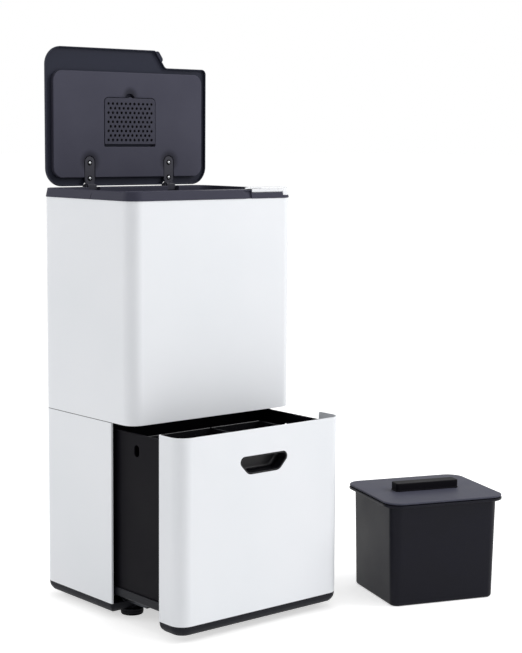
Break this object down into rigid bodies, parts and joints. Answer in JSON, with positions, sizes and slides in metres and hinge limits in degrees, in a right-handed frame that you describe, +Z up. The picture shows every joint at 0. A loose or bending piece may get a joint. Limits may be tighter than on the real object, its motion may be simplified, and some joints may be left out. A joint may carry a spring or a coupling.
{
  "type": "two-tier waste sorting bin",
  "caption": "Kitchen waste sorting bin with a hinged lid over a lift-out bucket, a pull-out drawer with lift-out dividers and a separate food caddy.",
  "frame": {"origin": "on the floor, under the middle of the casings' outline", "axes": "+Z up, +Y to the rear, +X to the right as seen from the drawer side"},
  "size_m": [0.7415, 0.5872, 1.0576],
  "materials": {
    "casing_paint": "white powder-coated steel sheet, satin",
    "corner_plate_white": "white moulded ABS, satin gloss",
    "trim_plastic": "black moulded polypropylene, fine matte grain",
    "rim_plastic": "dark grey moulded ABS, satin",
    "lid_plastic": "dark grey moulded ABS, satin",
    "liner_plastic": "slate grey moulded panel, satin",
    "grille_plastic": "slate grey moulded perforated cover, satin",
    "tub_plastic": "black moulded polypropylene, matte",
    "divider_plastic": "dark grey moulded divider, matte",
    "scoop_plastic": "black moulded hand pocket, satin",
    "caddy_plastic": "black moulded polypropylene, satin",
    "caddy_lid_plastic": "dark grey moulded lid, satin",
    "hinge_metal": "dark powder-coated pressed steel",
    "zinc_steel": "zinc-plated steel with a black passivation",
    "screw_chrome": "bright plated screw heads",
    "chassis_steel": "black painted pressed steel pan",
    "soft_rubber": "black rubber, matte",
    "carbon_felt": "black activated carbon felt pad"
  },
  "bodies": {
    "cabinet": {"base_tray": "trim_plastic", "foot_cups": "trim_plastic", "foot_pads": "soft_rubber", "foot_screws": "zinc_steel", "lower_casing": "casing_paint", "mid_frame": "trim_plastic", "upper_casing": "casing_paint", "casing_screws": "zinc_steel", "top_rim": "rim_plastic", "corner_plate": "corner_plate_white", "hinge_bracket_left": "hinge_metal", "hinge_bracket_right": "hinge_metal", "hinge_pin_left": "zinc_steel", "hinge_pin_right": "zinc_steel", "bracket_screws": "zinc_steel", "runner_rail_left": "zinc_steel", "runner_rail_right": "zinc_steel", "rail_screws": "zinc_steel", "drawer_buffers": "soft_rubber"},
    "lid": {"lid_shell": "lid_plastic", "lid_liner": "liner_plastic", "hinge_strap_left": "hinge_metal", "hinge_strap_right": "hinge_metal", "strap_screws": "screw_chrome"},
    "filter": {"filter_cover": "grille_plastic", "filter_cartridge": "carbon_felt"},
    "drawer": {"drawer_front": "casing_paint", "drawer_trim": "trim_plastic", "front_frame": "trim_plastic", "handle_scoop": "scoop_plastic", "drawer_chassis": "chassis_steel", "drawer_tub": "tub_plastic", "runner_slide_left": "zinc_steel", "runner_slide_right": "zinc_steel", "chassis_screws": "zinc_steel"},
    "runner_middle_left": {"runner_middle_left": "zinc_steel"},
    "runner_middle_right": {"runner_middle_right": "zinc_steel"},
    "dividers": {"cross_divider": "divider_plastic", "divider_wings": "divider_plastic"},
    "bucket": {"waste_bucket": "tub_plastic"},
    "caddy": {"caddy_tub": "caddy_plastic"},
    "caddy_lid": {"caddy_lid": "caddy_lid_plastic", "caddy_handle": "tub_plastic", "caddy_seal": "soft_rubber"}
  },
  "joints": [
    {"name": "lid_hinge", "type": "hinge", "parent": "cabinet", "child": "lid", "pos_m": [0, 0.1243, 0.79], "axis": [-1, 0, 0], "range_deg": [-90, 0]},
    {"name": "filter_cover_hinge", "type": "hinge", "parent": "lid", "child": "filter", "pos_m": [0, 0.1246, 0.8759], "axis": [-1, 0, 0], "range_deg": [-40, 0]},
    {"name": "drawer_slide", "type": "slide", "parent": "cabinet", "child": "drawer", "axis": [0, -1, 0], "range_m": [-0.143, 0.117]},
    {"name": "runner_middle_left_slide", "type": "slide", "parent": "cabinet", "child": "runner_middle_left", "axis": [0, -1, 0], "range_m": [-0.0715, 0.0585]},
    {"name": "runner_middle_right_slide", "type": "slide", "parent": "cabinet", "child": "runner_middle_right", "axis": [0, -1, 0], "range_m": [-0.0715, 0.0585]},
    {"name": "divider_lift", "type": "slide", "parent": "drawer", "child": "dividers", "axis": [0, 0, 1], "range_m": [0, 0.3]},
    {"name": "bucket_lift", "type": "slide", "parent": "cabinet", "child": "bucket", "axis": [0, 0, 1], "range_m": [0, 0.42]},
    {"name": "caddy_lift", "type": "slide", "parent": "cabinet", "child": "caddy", "axis": [0, 0, 1], "range_m": [0, 0.25]},
    {"name": "caddy_lid_lift", "type": "slide", "parent": "caddy", "child": "caddy_lid", "axis": [0, 0, 1], "range_m": [0, 0.15]}
  ],
  "couplings": [
    {"joint": "runner_middle_left_slide", "follows": "drawer_slide", "ratio": 0.5},
    {"joint": "runner_middle_right_slide", "follows": "drawer_slide", "ratio": 0.5}
  ]
}
